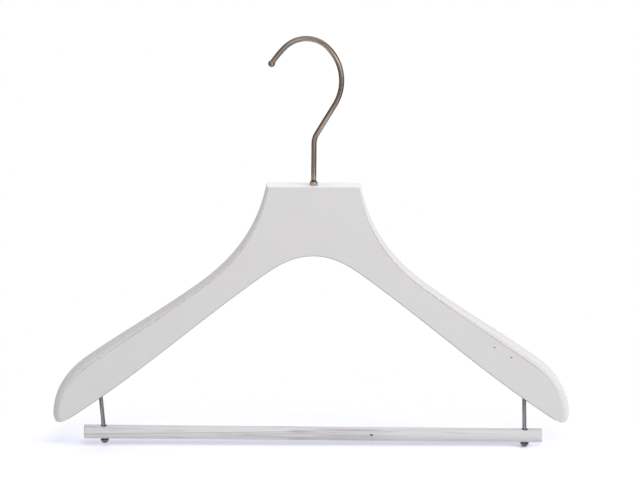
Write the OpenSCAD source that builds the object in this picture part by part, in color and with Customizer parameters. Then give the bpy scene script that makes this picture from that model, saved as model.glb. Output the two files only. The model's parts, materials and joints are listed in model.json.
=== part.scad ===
// Wooden jacket hanger with a swivel hook and a trouser bar carried on two pins.
// The origin is the rail seat, the highest point inside the hook's crown.
// +X runs along the arms, +Y points to the back face, +Z is up.

/* [Body outline] */
// Width over both shoulder tips
body_w = 450; // [375:1:540]
// Thickness of the wooden body, front face to back face
body_t = 16; // [14:0.2:20]
// Half width of the flat neck top
neck_half_w = 40.2; // [33:0.1:48]
// Angle of the neck's sides from level at the neck top
neck_side_angle = 80; // [72:1:86]
// Height of the neck, from its flat top to the crown of the arch
neck_h = 61.5; // [51:0.5:74]
// Distance from the centre to the end of the neck's sweep
sweep_x = 96; // [86:1:108]
// Drop of the end of the neck's sweep below the neck top
sweep_drop = 87.8; // [78:0.1:98]
// Slope of the arm's upper edge at the end of the sweep
sweep_slope = 37.2; // [33:0.1:42]
// Mean slope of the arm from the end of the sweep to the shoulder curve
arm_slope = 34.2; // [30:0.1:38]
// Distance from the tip's side back to the start of the shoulder curve
shoulder_back = 29.7; // [25:0.1:36]
// Slope of the upper edge at the start of the shoulder curve
shoulder_slope = 35.9; // [32:0.1:40]
// Fall from the start of the shoulder curve to the tip's widest point
tip_fall = 51.7; // [44:0.1:60]
// Fall from the tip's widest point to its lowest point
foot_fall = 6.5; // [5:0.1:8]
// Distance from the tip's side back to its lowest point
foot_back = 3.3; // [2.8:0.1:5]
// Distance from the tip's side back to the start of the straight underside
heel_back = 15; // [12:0.1:20]
// Rise from the lowest point to the start of the straight underside
heel_rise = 4.7; // [3.8:0.1:6]
// Slope of the underside where it starts to run straight
heel_slope = 34; // [30:0.5:38]
// Distance from the centre to the side of the arch
arch_x = 49.2; // [42:0.1:58]
// Drop from the crown of the arch to its side
arch_drop = 22.3; // [18:0.1:27]
// Slope of the underside at the side of the arch
arch_slope = 37.1; // [34:0.1:41]

/* [Body edges] */
// Radius of the rounded edges along the neck's sides
neck_round = 2; // [1:0.1:3.5]
// Radius of the rounded edges at the end of the neck's sweep
sweep_round = 2.4; // [1.5:0.1:4]
// Radius of the rounded edges at the start of the shoulder curve
shoulder_round = 5.5; // [4:0.1:6.5]
// Radius of the rounded edges at the tip's widest point
tip_round = 6; // [4.5:0.1:6.5]
// Width of the rounded edges at the tip's lowest point
foot_round_in = 5; // [4:0.1:6]
// Height of the rounded edges at the tip's lowest point
foot_round_up = 2; // [1.5:0.1:2.5]
// Radius of the eased edges of the underside
under_round = 0.8; // [0.4:0.1:1.2]

/* [Neck joint] */
// Length of the glued fingers that join the two arms
finger_len = 10; // [6:0.5:16]
// Number of fingers on each arm
finger_count = 4; // [3:1:6]
// Width of a finger's blunt end
finger_end_w = 3; // [2:0.1:4]

/* [Hook] */
// Diameter of the hook's wire
wire_d = 4.5; // [3.8:0.1:5.4]
// Rise of the straight shank from the neck top to the first bend
shank_rise = 36.6; // [30:0.2:44]
// Radius of the first bend, at the middle of the wire
first_bend_r = 16; // [12:0.5:24]
// Angle that the wire leans back after the first bend
lean_angle = 30.5; // [25:0.5:36]
// Length of the straight leaning run
lean_run = 29.5; // [22:0.5:36]
// Radius of the hook's back, at the middle of the wire
back_r = 41; // [36:0.5:48]
// Angle that the hook's back turns through
back_sweep = 76; // [68:0.5:84]
// Radius of the hook's crown, at the middle of the wire
crown_r = 25.4; // [21:0.2:31]
// Angle that the crown turns through
crown_sweep = 90.5; // [82:0.5:98]
// Radius of the hook's open end, at the middle of the wire
end_r = 85; // [60:1:110]
// Angle that the open end turns through
end_sweep = 10.5; // [6:0.5:16]
// Diameter of the ball on the hook's end
ball_d = 6; // [5.4:0.1:7.2]
// Diameter of the turned spigot that carries the ball
spigot_d = 2.6; // [2:0.1:3]
// Length of the spigot
spigot_len = 3; // [2:0.1:4]

/* [Ferrule] */
// Diameter of the ferrule's rounded collar
collar_d = 7.4; // [7.2:0.1:9]
// Height of the collar above the neck top
collar_h = 3.4; // [2.6:0.1:5]
// Radius of the collar's rounded upper edge
collar_round = 1.2; // [0.6:0.1:1.2]
// Wall of the ferrule's sleeve
sleeve_wall = 0.75; // [0.6:0.05:1]
// Length of the sleeve inside the neck
sleeve_len = 22; // [16:0.5:28]
// Gap between the wire and the ferrule's bore, on the radius
swivel_clear = 0.06; // [0.02:0.01:0.1]
// Gap between the wire's flattened head and the hole in the neck, on the radius
peen_clear = 0.2; // [0.15:0.05:0.3]
// Thickness of the wire's flattened head
peen_h = 1.6; // [1:0.1:2.5]
// Gap between that head and the ferrule's lower end
peen_gap = 0.15; // [0.1:0.05:0.3]
// Free depth of the hole below the head
hole_spare = 2; // [1:0.5:6]

/* [Bar pins] */
// Diameter of a pin's shank
pin_d = 3.6; // [3:0.1:4.2]
// Distance from the left tip's side in to the left pin
left_pin_in = 41.2; // [36:0.1:48]
// Distance from the right tip's side in to the right pin
right_pin_in = 39.3; // [36:0.1:48]
// Lean of the left pin from upright, its foot towards +X
left_pin_lean = 4.5; // [0:0.1:5]
// Lean of the right pin from upright, its foot towards +X
right_pin_lean = 2; // [0:0.1:5]
// Length of the left pin from the arm's underside to its head
left_pin_reach = 40.3; // [36:0.1:48]
// Length of the right pin from the arm's underside to its head
right_pin_reach = 41.9; // [36:0.1:48]
// Length of pin driven into the arm
pin_grip = 22; // [16:0.5:26]
// Diameter of a pin's domed head
pin_head_d = 7.6; // [7:0.1:9]
// Height of a pin's domed head
pin_head_h = 4; // [3:0.1:4.5]
// Height of the straight band round the top of the head
pin_head_band = 0.7; // [0.4:0.1:1]

/* [Trouser bar] */
// Diameter of the bar
bar_d = 12.1; // [11:0.1:14.6]
// Length of bar beyond the left pin
bar_left_over = 17.2; // [12:0.1:20]
// Length of bar beyond the right pin
bar_right_over = 15.2; // [12:0.1:20]
// Radius of the eased edges at the bar's ends
bar_end_round = 0.8; // [0.4:0.1:1.5]
// Gap between a pin and its hole in the bar, on the radius
bar_hole_clear = 0.95; // [0.9:0.05:1.2]
// Gap between the bar and the pin heads that it rests on
bar_seat_gap = 0.15; // [0.1:0.05:0.3]
// Travel of the bar up the pins
bar_travel = 15; // [8:0.5:15]

/* [Hidden] */
$fn = 64;
// Reach of a cutting solid past the face that it cuts
past = 5;
// Pieces of the wire stop this far short of each other, inside a ball this much wider
wire_stop = 0.05;
joint_swell = 0.01;

paint = [0.84, 0.83, 0.83];
bronze = [0.46, 0.4, 0.34];
pin_steel = [0.4, 0.38, 0.37];

function dir(a) = [cos(a), sin(a)];
function mix(a, b, t) = a + (b - a) * t;
function sum_to(list, n) = n <= 0 ? 0 : list[n - 1] + sum_to(list, n - 1);

// Outline knots of the right half, each [x, z, heading], walked away from the tip's lowest point
tip_x = body_w / 2;
shoulder_x = tip_x - shoulder_back;
shoulder_z = -sweep_drop - (shoulder_x - sweep_x) * tan(arm_slope);
tip_z = shoulder_z - tip_fall;
foot_x = tip_x - foot_back;
foot_z = tip_z - foot_fall;
tip_side = [tip_x, tip_z, 90];
shoulder = [shoulder_x, shoulder_z, 180 - shoulder_slope];
sweep_end = [sweep_x, -sweep_drop, 180 - sweep_slope];
neck_corner = [neck_half_w, 0, 180 - neck_side_angle];
heel = [tip_x - heel_back, foot_z + heel_rise, 180 - heel_slope];
arch_side = [arch_x, -neck_h - arch_drop, 180 - arch_slope];
arch_crown = [0, -neck_h, 180];
upper_knots = [[foot_x, foot_z, 0], tip_side, shoulder, sweep_end, neck_corner];
lower_knots = [[foot_x, foot_z, 180], heel, arch_side, arch_crown];

// The same knots where the flat faces end and the rounded edges start
function moved(knot, across) = let (h = knot[2])
    [knot[0] - sin(h) * across, knot[1] + cos(h) * across, h];
flat_foot_x = foot_x - foot_round_in;
flat_foot_z = foot_z + foot_round_up;
upper_flat = [[flat_foot_x, flat_foot_z, 0], moved(tip_side, tip_round),
              moved(shoulder, shoulder_round), moved(sweep_end, sweep_round),
              moved(neck_corner, neck_round)];
lower_flat = [[flat_foot_x, flat_foot_z, 180], moved(heel, -under_round),
              moved(arch_side, -under_round), moved(arch_crown, -under_round)];

// Handle length of an outline curve as a share of its chord, for the foot corner and elsewhere
corner_pull = 0.25;
sweep_pull = 0.36;

// A point on an outline at a place counted in curves, where 1.5 is half way along the second
function walk(knots, place, first_pull) =
    let (i = min(floor(place), len(knots) - 2),
         t = place - i,
         a = [knots[i][0], knots[i][1]],
         b = [knots[i + 1][0], knots[i + 1][1]],
         reach = norm(b - a) * (i == 0 ? first_pull : sweep_pull),
         a_handle = a + dir(knots[i][2]) * reach,
         b_handle = b - dir(knots[i + 1][2]) * reach)
    pow(1 - t, 3) * a + 3 * t * pow(1 - t, 2) * a_handle
    + 3 * t * t * (1 - t) * b_handle + pow(t, 3) * b;

// Number of stations on each upper curve, from the foot to the neck top
upper_steps = [6, 14, 8, 14];
side_steps = sum_to(upper_steps, len(upper_steps));
// Stations on the spare strip above the neck top, which is cut away
top_steps = 4;
half_steps = side_steps + top_steps;
// The last station on the neck's side stops short of the cut by this share of its curve
short_of_top = 0.03;
upper_places = [for (i = [0 : len(upper_steps)])
    [sum_to(upper_steps, i), i < len(upper_steps) ? i : i - short_of_top]];
// Places on the underside that face the upper knots across the wood
facing = [0, 0.7, 1.15, 1.85, 2.5];
lower_places = [for (i = [0 : len(upper_steps) + 1])
    i <= len(upper_steps) ? [sum_to(upper_steps, i), facing[i]] : [half_steps, len(lower_knots) - 1]];

// Corner of the spare strip, and its stations from that corner in to the centre
strip_x = neck_half_w - past / tan(neck_side_angle);
function strip_point(n, inset) =
    [(strip_x - inset) * (half_steps - n) / (top_steps - 1), past - inset];
function upper_point(n, knots, inset) =
    n > side_steps ? strip_point(n, inset) : walk(knots, lookup(n, upper_places), corner_pull);
function lower_point(n, knots) = walk(knots, lookup(n, lower_places), sweep_pull);

// Section across the thickness, rounded from the front face and mirrored to the back face
round_steps = 5;
section_size = 2 * (round_steps + 1);
// Least half width of the edge band between the two rounded edges
edge_band = 0.4;
function section(flat, edge) =
    let (depth = min(norm(edge - flat), body_t / 2 - edge_band),
         front = [for (k = [0 : round_steps]) let (a = 90 * k / round_steps, p = mix(flat, edge, sin(a)))
             [p[0], depth * (1 - cos(a)) - body_t / 2, p[1]]])
    concat(front, [for (k = [round_steps : -1 : 0]) [front[k][0], -front[k][1], front[k][2]]]);
function upper_section(n) =
    section(upper_point(n, upper_flat, neck_round), upper_point(n, upper_knots, 0));
function lower_section(n) = section(lower_point(n, lower_flat), lower_point(n, lower_knots));
function reversed(list) = [for (k = [len(list) - 1 : -1 : 0]) list[k]];
function ring(n) = n == 0 ? upper_section(n) : concat(upper_section(n), reversed(lower_section(n)));
function mirrored(points) = [for (p = points) [-p[0], p[1], p[2]]];

// Rings from the left foot over the centre to the right foot, closed at both feet
ring_count = 2 * half_steps;
ring_size = 2 * section_size;
body_points = [for (j = [0 : ring_count])
    each j < half_steps ? mirrored(ring(j)) : ring(ring_count - j)];
function point_index(j, k) =
    let (kk = k % ring_size, at_foot = kk < section_size ? kk : ring_size - 1 - kk)
    j == 0 ? at_foot
    : section_size + (j - 1) * ring_size + (j == ring_count ? at_foot : kk);
body_faces = [for (j = [0 : ring_count - 1], k = [0 : ring_size - 1])
    let (a = point_index(j, k), b = point_index(j, k + 1),
         c = point_index(j + 1, k + 1), d = point_index(j + 1, k))
    each [if (a != b) [a, b, c], if (c != d) [a, c, d]]];

// Line between the two arms, a wave of blunt fingers from the neck top to the arch
finger_pitch = neck_h / finger_count;
arm_reach = tip_x + past;
arm_bottom = foot_z - past;
function finger(i) = let (z = -i * finger_pitch, x = finger_len / 2, w = finger_end_w / 2)
    [[x, z - w], [-x, z - finger_pitch / 2 + w],
     [-x, z - finger_pitch / 2 - w], [x, z - finger_pitch + w]];
joint_line = [[finger_len / 2, 2 * past], for (i = [0 : finger_count - 1]) each finger(i),
              [finger_len / 2, arm_bottom]];

// Hook curve in the plane of the hanger, from the neck top to the seat of the ball
lean_heading = 90 - lean_angle;
crown_heading = lean_heading + back_sweep;
end_heading = crown_heading + crown_sweep;
ball_heading = end_heading + end_sweep;
first_centre = [first_bend_r, shank_rise];
lean_start = first_centre + first_bend_r * dir(lean_heading + 90);
back_start = lean_start + lean_run * dir(lean_heading);
back_centre = back_start + back_r * dir(lean_heading + 90);
crown_start = back_centre + back_r * dir(crown_heading - 90);
crown_centre = crown_start + crown_r * dir(crown_heading + 90);
end_start = crown_centre + crown_r * dir(end_heading - 90);
end_centre = end_start + end_r * dir(end_heading + 90);
wire_end = end_centre + end_r * dir(ball_heading - 90);
// Distance from the ball's centre to the flat that meets the wire's end
ball_seat = sqrt(pow(ball_d / 2, 2) - pow(wire_d / 2, 2)) + 0.1;

// Rail seat, measured from the middle of the neck top
seat = [crown_centre[0], 0, crown_centre[1] + crown_r - wire_d / 2];

bore_d = wire_d + 2 * swivel_clear;
sleeve_d = bore_d + 2 * sleeve_wall;
peen_d = sleeve_d - 2 * peen_clear;
hole_depth = sleeve_len + peen_gap + peen_h + hole_spare;

// Height of the underside above a place on the arm, read from the straight underside curve
under_table = [for (i = [20 : -1 : 0]) walk(lower_knots, 1 + i / 20, sweep_pull)];
function under_z(x) = lookup(x, [for (p = under_table) [p[0], p[1]]]);
left_pin_x = left_pin_in - tip_x;
right_pin_x = tip_x - right_pin_in;
left_pin_top = [left_pin_x, under_z(-left_pin_x)];
right_pin_top = [right_pin_x, under_z(right_pin_x)];
left_head = left_pin_top - left_pin_reach * dir(90 + left_pin_lean);
right_head = right_pin_top - right_pin_reach * dir(90 + right_pin_lean);

// Bar axis, laid over the two heads and raised clear of their higher edges
bar_run = right_head - left_head;
bar_tilt = atan2(bar_run[1], bar_run[0]);
left_tilt = left_pin_lean - bar_tilt;
right_tilt = right_pin_lean - bar_tilt;
bar_height = bar_d / 2 + pin_head_d / 2 * sin(max(left_tilt, right_tilt)) + bar_seat_gap;
bar_start = left_head + bar_height * dir(90 + bar_tilt);
// Holes shifted by half of the pins' drift from the bar's path over its travel
mean_lean = (left_pin_lean + right_pin_lean) / 2;
left_drift = bar_travel * (tan(left_pin_lean) - tan(mean_lean)) / 2;
right_drift = bar_travel * (tan(right_pin_lean) - tan(mean_lean)) / 2;
left_hole = -bar_height * tan(left_tilt) - left_drift;
right_hole = norm(bar_run) - bar_height * tan(right_tilt) - right_drift;
bar_left_end = left_hole - bar_left_over;
bar_len = right_hole + bar_right_over - bar_left_end;

module in_frame() {
    translate(-seat) children();
}

module in_hanger_plane(p, angle) {
    translate([p[0], 0, p[1]]) rotate([90, 0, 0]) rotate(angle) children();
}

module wooden_body() {
    difference() {
        polyhedron(body_points, body_faces);
        translate([-neck_half_w, -body_t, 0]) cube([2 * neck_half_w, 2 * body_t, 2 * past]);
    }
}

module left_side() {
    translate([0, body_t, 0]) rotate([90, 0, 0]) linear_extrude(2 * body_t)
        polygon(concat(joint_line, [[-arm_reach, arm_bottom], [-arm_reach, 2 * past]]));
}

module right_side() {
    translate([0, body_t, 0]) rotate([90, 0, 0]) linear_extrude(2 * body_t)
        polygon(concat(joint_line, [[arm_reach, arm_bottom], [arm_reach, 2 * past]]));
}

module neck_hole() {
    translate([0, 0, -hole_depth]) cylinder(h = hole_depth + past, d = sleeve_d);
}

module pin_hole(top, lean) {
    translate([top[0], 0, top[1]]) rotate([0, -lean, 0]) translate([0, 0, -past])
        cylinder(h = past + pin_grip, d = pin_d);
}

module left_arm() {
    color(paint) in_frame() difference() {
        wooden_body();
        right_side();
        neck_hole();
        pin_hole(left_pin_top, left_pin_lean);
    }
}

module right_arm() {
    color(paint) in_frame() difference() {
        wooden_body();
        left_side();
        neck_hole();
        pin_hole(right_pin_top, right_pin_lean);
    }
}

// Bent wire about a centre, from one angle through a sweep, stopped short at both ends
module wire_arc(centre, r, from, sweep) {
    short = asin(wire_stop / r);
    in_hanger_plane(centre, from + short) rotate_extrude(angle = sweep - 2 * short)
        translate([r, 0]) circle(d = wire_d);
}

// Straight round length that starts at a point of the hook's curve
module wire_run(p, heading, length, d) {
    in_hanger_plane(p, heading) rotate([0, 90, 0]) cylinder(h = length, d = d);
}

// Ball that joins two pieces of the wire
module wire_joint(p) {
    translate([p[0], 0, p[1]]) sphere(d = wire_d + 2 * joint_swell);
}

module hook_wire() {
    head_z = -sleeve_len - peen_gap;
    shank_start = head_z - peen_h / 2;
    color(bronze) in_frame() {
        wire_run([0, head_z - peen_h], 90, peen_h, peen_d);
        wire_run([0, shank_start], 90, shank_rise - shank_start - wire_stop, wire_d);
        wire_joint([0, shank_rise]);
        wire_arc(first_centre, first_bend_r, lean_heading + 90, lean_angle);
        wire_joint(lean_start);
        wire_run(lean_start + wire_stop * dir(lean_heading), lean_heading,
            lean_run - 2 * wire_stop, wire_d);
        wire_joint(back_start);
        wire_arc(back_centre, back_r, lean_heading - 90, back_sweep);
        wire_joint(crown_start);
        wire_arc(crown_centre, crown_r, crown_heading - 90, crown_sweep);
        wire_joint(end_start);
        wire_arc(end_centre, end_r, end_heading - 90, end_sweep);
        wire_run(wire_end - spigot_d * dir(ball_heading), ball_heading, spigot_d + spigot_len, spigot_d);
    }
}

module hook_tip_ball() {
    color(bronze) in_frame() in_hanger_plane(wire_end, ball_heading) rotate([0, 90, 0]) difference() {
        translate([0, 0, ball_seat]) sphere(d = ball_d);
        translate([0, 0, -ball_d]) cylinder(h = ball_d, d = ball_d);
        translate([0, 0, -past]) cylinder(h = past + spigot_len, d = spigot_d);
    }
}

module hook_ferrule() {
    rim_r = collar_d / 2 - collar_round;
    color(bronze) in_frame() difference() {
        union() {
            translate([0, 0, -sleeve_len]) cylinder(h = sleeve_len, d = sleeve_d);
            rotate_extrude() difference() {
                union() {
                    square([collar_d / 2, collar_h - collar_round]);
                    square([rim_r, collar_h]);
                    translate([rim_r, collar_h - collar_round]) circle(r = collar_round);
                }
                translate([-collar_d, 0]) square([collar_d, collar_h]);
            }
        }
        translate([0, 0, -sleeve_len - past])
            cylinder(h = sleeve_len + collar_h + 2 * past, d = bore_d);
    }
}

module trouser_bar() {
    ease = bar_end_round;
    color(paint) in_frame() in_hanger_plane(bar_start, bar_tilt) difference() {
        translate([bar_left_end, 0, 0]) rotate([0, 90, 0]) rotate_extrude() union() {
            translate([0, ease]) square([bar_d / 2, bar_len - 2 * ease]);
            square([bar_d / 2 - ease, bar_len]);
            translate([bar_d / 2 - ease, ease]) circle(r = ease);
            translate([bar_d / 2 - ease, bar_len - ease]) circle(r = ease);
        }
        for (u = [left_hole, right_hole])
            translate([u, -bar_d, 0]) rotate([-90, 0, 0])
                cylinder(h = 2 * bar_d, d = pin_d + 2 * bar_hole_clear);
    }
}

// Pin drawn with the underside of the arm at zero and its head below
module bar_pin(top, lean, reach) {
    dome_h = pin_head_h - pin_head_band;
    dome_r = (pow(pin_head_d / 2, 2) + dome_h * dome_h) / (2 * dome_h);
    color(pin_steel) in_frame() translate([top[0], 0, top[1]]) rotate([0, -lean, 0]) {
        translate([0, 0, -reach]) cylinder(h = reach + pin_grip, d = pin_d);
        translate([0, 0, -reach - pin_head_band]) cylinder(h = pin_head_band, d = pin_head_d);
        translate([0, 0, -reach - pin_head_band]) intersection() {
            translate([0, 0, dome_r - dome_h]) sphere(r = dome_r);
            translate([0, 0, -dome_h]) cylinder(h = dome_h, d = pin_head_d);
        }
    }
}

module left_bar_pin() {
    bar_pin(left_pin_top, left_pin_lean, left_pin_reach);
}

module right_bar_pin() {
    bar_pin(right_pin_top, right_pin_lean, right_pin_reach);
}

left_arm();
right_arm();
hook_wire();
hook_tip_ball();
hook_ferrule();
trouser_bar();
left_bar_pin();
right_bar_pin();
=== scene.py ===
import json
import logging
import math
from dataclasses import dataclass, field
from enum import Enum
from typing import Callable, Optional, Sequence, Union

import bmesh
import bpy
from bmesh.types import BMEdge, BMesh
from bpy.types import Material, Mesh, Node, NodeSocket, NodeTree, Object
from mathutils import Matrix, Vector

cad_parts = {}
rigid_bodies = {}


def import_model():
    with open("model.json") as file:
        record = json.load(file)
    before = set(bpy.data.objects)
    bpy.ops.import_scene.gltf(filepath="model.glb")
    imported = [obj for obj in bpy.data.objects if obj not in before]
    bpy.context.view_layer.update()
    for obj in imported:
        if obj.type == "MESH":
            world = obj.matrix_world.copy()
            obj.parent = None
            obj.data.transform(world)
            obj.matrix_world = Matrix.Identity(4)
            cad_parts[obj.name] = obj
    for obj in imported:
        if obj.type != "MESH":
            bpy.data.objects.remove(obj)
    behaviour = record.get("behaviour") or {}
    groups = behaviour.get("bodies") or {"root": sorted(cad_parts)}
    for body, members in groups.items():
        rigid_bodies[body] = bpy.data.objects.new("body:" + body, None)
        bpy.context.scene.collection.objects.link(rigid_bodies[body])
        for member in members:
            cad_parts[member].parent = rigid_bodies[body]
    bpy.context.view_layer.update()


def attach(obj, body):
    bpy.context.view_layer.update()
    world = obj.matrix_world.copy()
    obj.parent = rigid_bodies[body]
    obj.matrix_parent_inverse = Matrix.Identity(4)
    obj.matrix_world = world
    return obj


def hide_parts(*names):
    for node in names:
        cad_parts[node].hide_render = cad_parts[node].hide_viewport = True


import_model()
LOG = logging.getLogger("hanger")

MM = 0.001
# Rail seat measured from the middle of the neck top, in millimetres
SEAT_X = -7.20629591
SEAT_Z = 125.22445393
Pair = tuple[float, float]
Number = Union[int, float]
Value = Union["Sock", Number]
Colour = Union["Sock", tuple]
PAINT_LAYERS = ("along", "across", "arris", "worn", "streak", "band", "under", "crest", "veined")
# What a distance attribute says where the line it is measured from is far off
FAR = 9.0
# Vertices nearer than this, in metres, are one vertex
MERGE = 1e-7


def to_row(x: float, y: float, z: float) -> Vector:
    """A point in the row frame in metres.

    Args:
        x: millimetres from the middle of the body.
        y: millimetres towards the back face.
        z: millimetres above the neck top.

    Returns:
        The point measured from the rail seat.
    """
    return Vector(((x - SEAT_X) * MM, y * MM, (z - SEAT_Z) * MM))


def heading(angle: float) -> Pair:
    """Unit direction at an angle in degrees."""
    return math.cos(math.radians(angle)), math.sin(math.radians(angle))


def lookup(value: float, table: Sequence[Pair]) -> float:
    """Straight-line interpolation in a table sorted by its first column.

    Args:
        value: where to read.
        table: pairs of place and value.

    Returns:
        The value there, held constant past both ends.
    """
    if value <= table[0][0]:
        return table[0][1]
    for (a, va), (b, vb) in zip(table, table[1:]):
        if value <= b:
            return va + (vb - va) * (value - a) / (b - a)
    return table[-1][1]


class Body(Enum):
    """The rigid bodies that pieces ride on."""

    HOOK = "hook"
    HANGER = "hanger_body"
    BAR = "bar"


class Slot(Enum):
    """The record's material slots."""

    PAINT = "painted_wood"
    BRASS = "antique_brass"
    STEEL = "dark_steel"


class Sock:
    """A shader or geometry value that can be written into expressions."""

    def __init__(self, graph: "Graph", source: Union[NodeSocket, Number]) -> None:
        """Keeps the graph and the socket or number that stands for the value."""
        self.graph = graph
        self.source = source

    def _op(self, name: str, *others: Value, clamp: bool = False) -> "Sock":
        """A Math node on this value.

        Args:
            name: the node's operation.
            others: the other inputs.
            clamp: whether the result is held between 0 and 1.

        Returns:
            The result.
        """
        inputs = {0: self, **{i + 1: o for i, o in enumerate(others)}}
        settings = {"operation": name, "use_clamp": clamp}
        return self.graph.sock(self.graph.node("ShaderNodeMath", settings, inputs))

    def __add__(self, o: Value) -> "Sock":
        """Sum."""
        return self._op("ADD", o)

    def __radd__(self, o: Number) -> "Sock":
        """Reflected sum."""
        return self._op("ADD", o)

    def __sub__(self, o: Value) -> "Sock":
        """Difference."""
        return self._op("SUBTRACT", o)

    def __rsub__(self, o: Number) -> "Sock":
        """Reflected difference."""
        return Sock(self.graph, o)._op("SUBTRACT", self)

    def __mul__(self, o: Value) -> "Sock":
        """Product."""
        return self._op("MULTIPLY", o)

    def __truediv__(self, o: Value) -> "Sock":
        """Quotient."""
        return self._op("DIVIDE", o)

    def __pow__(self, o: Value) -> "Sock":
        """Power."""
        return self._op("POWER", o)

    def abs(self) -> "Sock":
        """Absolute value."""
        return self._op("ABSOLUTE")

    def clamped(self) -> "Sock":
        """Held between 0 and 1."""
        return self._op("ADD", 0.0, clamp=True)

    def ramp(self, low: float, high: float) -> "Sock":
        """Smooth rise from 0 at low to 1 at high.

        Args:
            low: where the rise starts.
            high: where it ends.

        Returns:
            The smooth step.
        """
        inputs = {"Value": self, "From Min": low, "From Max": high}
        node = self.graph.node("ShaderNodeMapRange", {"interpolation_type": "SMOOTHSTEP"}, inputs)
        return self.graph.sock(node, "Result")

    def bell(self, width: float) -> "Sock":
        """1 at zero, falling smoothly to 0 at plus and minus width."""
        return 1.0 - self.abs().ramp(0.0, width)


class Graph:
    """A node tree with one method that makes nodes."""

    def __init__(self, tree: NodeTree) -> None:
        """Keeps the tree and empties it."""
        self.tree = tree
        tree.nodes.clear()

    def node(self, kind: str, settings: Optional[dict] = None, inputs: Optional[dict] = None) -> Node:
        """Makes a node.

        Args:
            kind: the node's type name.
            settings: attributes to set.
            inputs: input name or index to a number, tuple, socket or Sock.

        Returns:
            The node.
        """
        node = self.tree.nodes.new(kind)
        for key, value in (settings or {}).items():
            setattr(node, key, value)
        for key, value in (inputs or {}).items():
            raw = value.source if isinstance(value, Sock) else value
            if isinstance(raw, NodeSocket):
                self.tree.links.new(raw, node.inputs[key])
            else:
                node.inputs[key].default_value = raw
        return node

    def sock(self, node: Node, output: Union[int, str] = 0) -> Sock:
        """A node's output as a value."""
        return Sock(self, node.outputs[output])

    def attribute(self, name: str) -> Sock:
        """A mesh's own float attribute."""
        return self.sock(self.node("ShaderNodeAttribute", {"attribute_name": name}), "Fac")

    def noise(self, vector: Sock, scale: float, detail: float = 3.0, rough: float = 0.55) -> Sock:
        """Noise about zero, from roughly -0.5 to 0.5.

        Args:
            vector: where it is read.
            scale: how fine it is.
            detail: how many octaves.
            rough: how strong the fine octaves are.

        Returns:
            The noise less a half.
        """
        inputs = {"Vector": vector, "Scale": scale, "Detail": detail, "Roughness": rough}
        return self.sock(self.node("ShaderNodeTexNoise", {"noise_dimensions": "3D"}, inputs), "Fac") - 0.5

    def place(self) -> Sock:
        """Object coordinates in millimetres."""
        inputs = {0: self.sock(self.node("ShaderNodeTexCoord"), "Object"), "Scale": 1 / MM}
        return self.sock(self.node("ShaderNodeVectorMath", {"operation": "SCALE"}, inputs))

    def axes(self, kind: str) -> tuple[Sock, Sock, Sock]:
        """The three parts of some texture coordinates.

        Args:
            kind: which coordinates.

        Returns:
            Their x, y and z.
        """
        coords = self.sock(self.node("ShaderNodeTexCoord"), kind)
        parts = self.node("ShaderNodeSeparateXYZ", None, {0: coords})
        return tuple(self.sock(parts, i) for i in range(3))

    def xyz(self, x: Value, y: Value, z: Value) -> Sock:
        """Three values as a vector."""
        return self.sock(self.node("ShaderNodeCombineXYZ", None, {0: x, 1: y, 2: z}))

    def mix(self, fac: Value, a: Colour, b: Colour) -> Sock:
        """Mix of two colours.

        Args:
            fac: share of the second.
            a: first colour.
            b: second colour.

        Returns:
            The mixed colour.
        """
        node = self.node("ShaderNodeMix", {"data_type": "RGBA"}, {0: fac, 6: rgba(a), 7: rgba(b)})
        return self.sock(node, 2)

    def layered(self, base: Colour, coats: Sequence[tuple[Value, Colour]]) -> Colour:
        """A colour under coats of others.

        Args:
            base: the lowest colour.
            coats: the share and the colour of each coat, from the lowest.

        Returns:
            The mixed colour.
        """
        for share, colour in coats:
            base = self.mix(share, base, colour)
        return base

    def bump(self, height: Sock, distance: float, strength: float = 1.0) -> Sock:
        """Normal bent by a height given in units of the distance in metres."""
        inputs = {"Strength": strength, "Distance": distance, "Height": height}
        return self.sock(self.node("ShaderNodeBump", None, inputs))


def rgba(colour: Colour) -> Colour:
    """A colour with its alpha where it has none."""
    return colour if isinstance(colour, Sock) or len(colour) == 4 else (*colour, 1.0)


def new_material(name: str) -> tuple[Material, Graph]:
    """An empty material with nodes.

    Args:
        name: the material's name.

    Returns:
        The material and its graph.
    """
    material = bpy.data.materials.new(name)
    material.use_nodes = True
    return material, Graph(material.node_tree)


def surface(graph: Graph, inputs: dict) -> None:
    """Ends a material in one Principled shader with the given inputs."""
    shader = graph.node("ShaderNodeBsdfPrincipled", None, inputs)
    graph.node("ShaderNodeOutputMaterial", None, {"Surface": graph.sock(shader)})


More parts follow.
